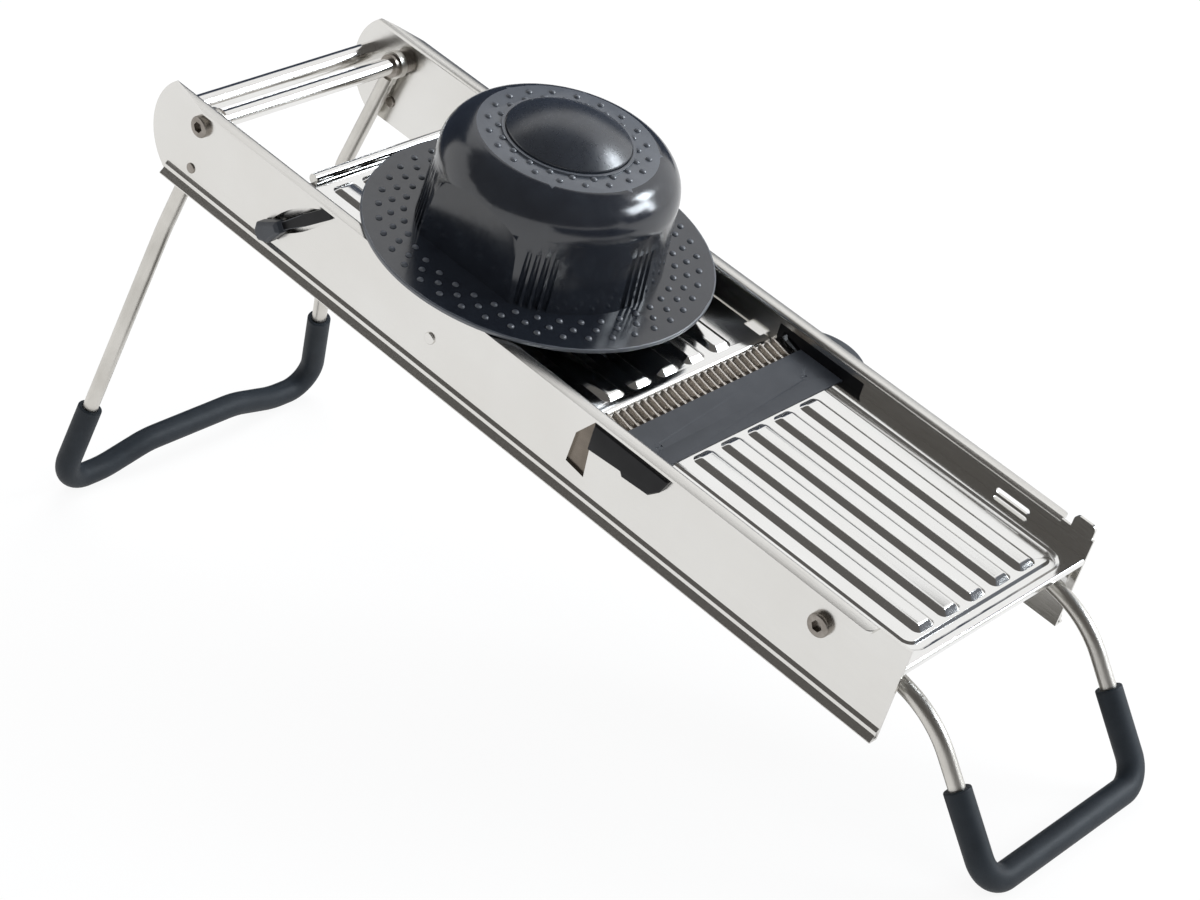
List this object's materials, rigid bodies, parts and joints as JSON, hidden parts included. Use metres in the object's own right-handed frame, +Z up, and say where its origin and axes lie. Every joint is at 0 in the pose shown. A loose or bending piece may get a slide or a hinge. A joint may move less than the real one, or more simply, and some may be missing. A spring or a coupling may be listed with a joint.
{
  "type": "manual vegetable slicer",
  "caption": "Adjustable inclined vegetable slicer with a sheet-steel frame, folding wire legs, a sliding food pusher and a removable blade cassette.",
  "frame": {"origin": "on the floor under the middle of the slicer's overall length and width, standing on its legs", "axes": "+Y along the slicer towards the handle end, +Z up, +X across towards the side that the cassette's grip stands out of"},
  "size_m": [0.161, 0.4978, 0.2234],
  "materials": {
    "side_sheet": "bright rolled stainless sheet, faintly brushed",
    "mirror_plate": "mirror-polished stainless sheet",
    "bright_tube": "polished stainless tube and bar",
    "leg_wire": "drawn stainless wire, satin",
    "blade_steel": "ground blade steel",
    "fastener": "turned stainless",
    "grey_plastic": "moulded, fine satin texture",
    "black_plastic": "moulded, satin",
    "pusher_plastic": "moulded, half gloss, with raised dots on the brim and top",
    "foot_rubber": "soft matt sleeve"
  },
  "bodies": {
    "frame": {"near_side_wall": "side_sheet", "far_side_wall": "side_sheet", "handle_bar": "bright_tube", "rear_leg_axle": "bright_tube", "rear_axle_screws": "fastener", "rear_leg_spacers": "fastener", "leg_detent_rivets": "fastener", "spreader_rod": "bright_tube", "spreader_rivets": "fastener", "landing_plate": "mirror_plate", "front_pivot_bolts": "fastener", "front_pivot_spacers": "fastener", "front_pivot_nuts": "fastener", "near_cassette_guide": "black_plastic", "far_cassette_guide": "black_plastic", "cassette_crossbar": "side_sheet", "lever_bushes": "black_plastic"},
    "feed_carriage": {"feed_plate": "mirror_plate", "far_feed_bracket": "side_sheet", "near_feed_bracket": "side_sheet"},
    "lever": {"thickness_lever": "black_plastic", "lever_shaft": "bright_tube", "lift_cranks": "fastener", "crank_pins": "fastener", "lever_end_nut": "fastener"},
    "blade_cassette": {"cassette_body": "grey_plastic", "slicing_blade": "blade_steel", "julienne_comb": "blade_steel", "cassette_screws": "fastener"},
    "rear_leg": {"rear_leg_wire": "leg_wire", "rear_leg_sleeve": "foot_rubber"},
    "front_leg": {"front_leg_wire": "leg_wire", "front_leg_sleeve": "foot_rubber"},
    "pusher": {"pusher_body": "pusher_plastic"},
    "plunger": {"plunger_knob": "pusher_plastic", "plunger_stem": "pusher_plastic", "plunger_plate": "pusher_plastic", "holder_pins": "fastener", "plunger_screw": "fastener"}
  },
  "joints": [
    {"name": "thickness_lever_turn", "type": "hinge", "parent": "frame", "child": "lever", "pos_m": [0, 0.11701, 0.16018], "axis": [1, 0, 0], "range_deg": [0, 30]},
    {"name": "feed_plate_rise", "type": "slide", "parent": "frame", "child": "feed_carriage", "axis": [0, -0.7071, 0.7071], "range_m": [0, 0.00388]},
    {"name": "cassette_pull", "type": "slide", "parent": "frame", "child": "blade_cassette", "axis": [1, 0, 0], "range_m": [0, 0.115]},
    {"name": "rear_leg_fold", "type": "hinge", "parent": "frame", "child": "rear_leg", "pos_m": [0, 0.15943, 0.1928], "axis": [-1, 0, 0], "range_deg": [0, 66]},
    {"name": "front_leg_fold", "type": "hinge", "parent": "frame", "child": "front_leg", "pos_m": [0, -0.16837, 0.0884], "axis": [1, 0, 0], "range_deg": [0, 120]},
    {"name": "pusher_stroke", "type": "slide", "parent": "frame", "child": "pusher", "axis": [0, 0.9563, 0.2924], "range_m": [-0.165, 0.08]},
    {"name": "plunger_lift", "type": "slide", "parent": "pusher", "child": "plunger", "axis": [0, -0.2924, 0.9563], "range_m": [0, 0.03]}
  ],
  "couplings": [
    {"joint": "thickness_lever_turn", "follows": "feed_plate_rise", "rad_per_m": 134.87}
  ]
}
